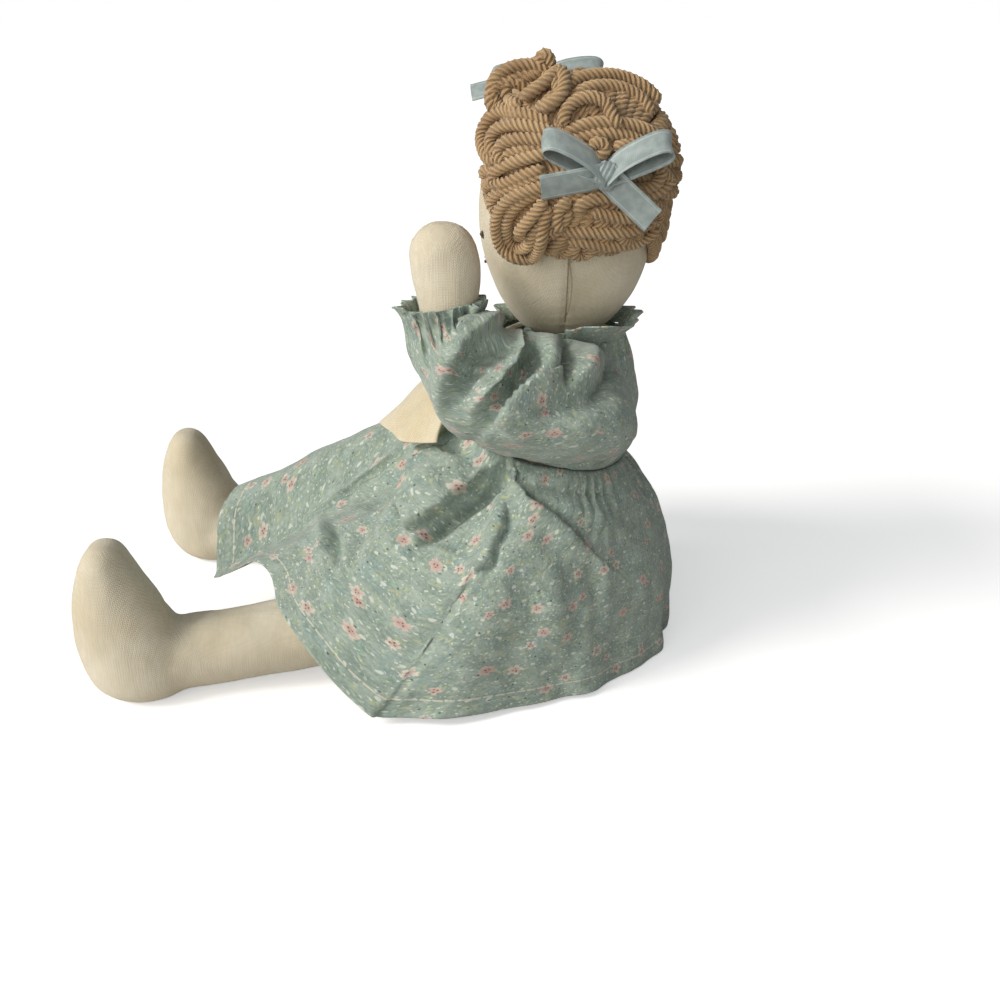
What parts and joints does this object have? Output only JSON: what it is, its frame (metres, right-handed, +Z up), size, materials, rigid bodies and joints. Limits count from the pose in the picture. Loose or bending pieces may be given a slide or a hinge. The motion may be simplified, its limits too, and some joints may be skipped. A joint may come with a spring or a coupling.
{
  "type": "rag doll",
  "caption": "Sitting cloth rag doll with stuffed muslin limbs, a calico dress, a muslin bib, looped yarn hair and ribbon bows.",
  "frame": {"origin": "on the ground under the middle of the body, at the flat underside of the bunched skirt that the doll sits on", "axes": "+Z up; the doll faces -Y and its left side is +X"},
  "size_m": [0.1547, 0.2047, 0.2008],
  "materials": {
    "muslin": "unbleached muslin, matt",
    "calico": "printed cotton calico, matt",
    "bib_muslin": "unbleached muslin, matt",
    "yarn": "plied wool yarn, matt",
    "satin": "satin ribbon, soft sheen",
    "elastic": "covered elastic cord"
  },
  "bodies": {
    "body": {"torso": "muslin", "dress_bodice": "calico", "neck_frill": "calico", "neck_elastic": "elastic", "skirt_front": "calico", "skirt_back": "calico", "bib": "bib_muslin"},
    "neck": {"neck": "muslin"},
    "head": {"head": "muslin", "hair_cap": "yarn", "hair_bunch_left": "yarn", "hair_bunch_right": "yarn", "bow_left": "satin", "bow_right": "satin"},
    "arm_left": {"arm_left": "muslin", "sleeve_left": "calico", "cuff_elastic_left": "elastic"},
    "arm_right": {"arm_right": "muslin", "sleeve_right": "calico", "cuff_elastic_right": "elastic"},
    "leg_left": {"leg_left": "muslin"},
    "leg_right": {"leg_right": "muslin"}
  },
  "joints": [
    {"name": "neck_turn", "type": "hinge", "parent": "body", "child": "neck", "pos_m": [0, 0, 0.1045], "axis": [0, 0, 1], "range_deg": [-8, 45]},
    {"name": "head_nod", "type": "hinge", "parent": "neck", "child": "head", "pos_m": [0, 0, 0.1085], "axis": [1, 0, 0], "range_deg": [-15, 4], "deforming": ["neck_frill"]},
    {"name": "shoulder_left", "type": "hinge", "parent": "body", "child": "arm_left", "pos_m": [0.034, 0, 0.106], "axis": [1, 0, 0], "range_deg": [0, 56], "deforming": ["sleeve_left", "dress_bodice"]},
    {"name": "shoulder_right", "type": "hinge", "parent": "body", "child": "arm_right", "pos_m": [-0.034, 0, 0.106], "axis": [1, 0, 0], "range_deg": [-120, 10], "deforming": ["sleeve_right"]},
    {"name": "hip_left", "type": "hinge", "parent": "body", "child": "leg_left", "pos_m": [0.025, -0.012, 0.023], "axis": [1, 0, 0], "range_deg": [-30, 90], "deforming": ["skirt_front"]},
    {"name": "hip_right", "type": "hinge", "parent": "body", "child": "leg_right", "pos_m": [-0.025, -0.012, 0.023], "axis": [1, 0, 0], "range_deg": [-30, 90]}
  ]
}
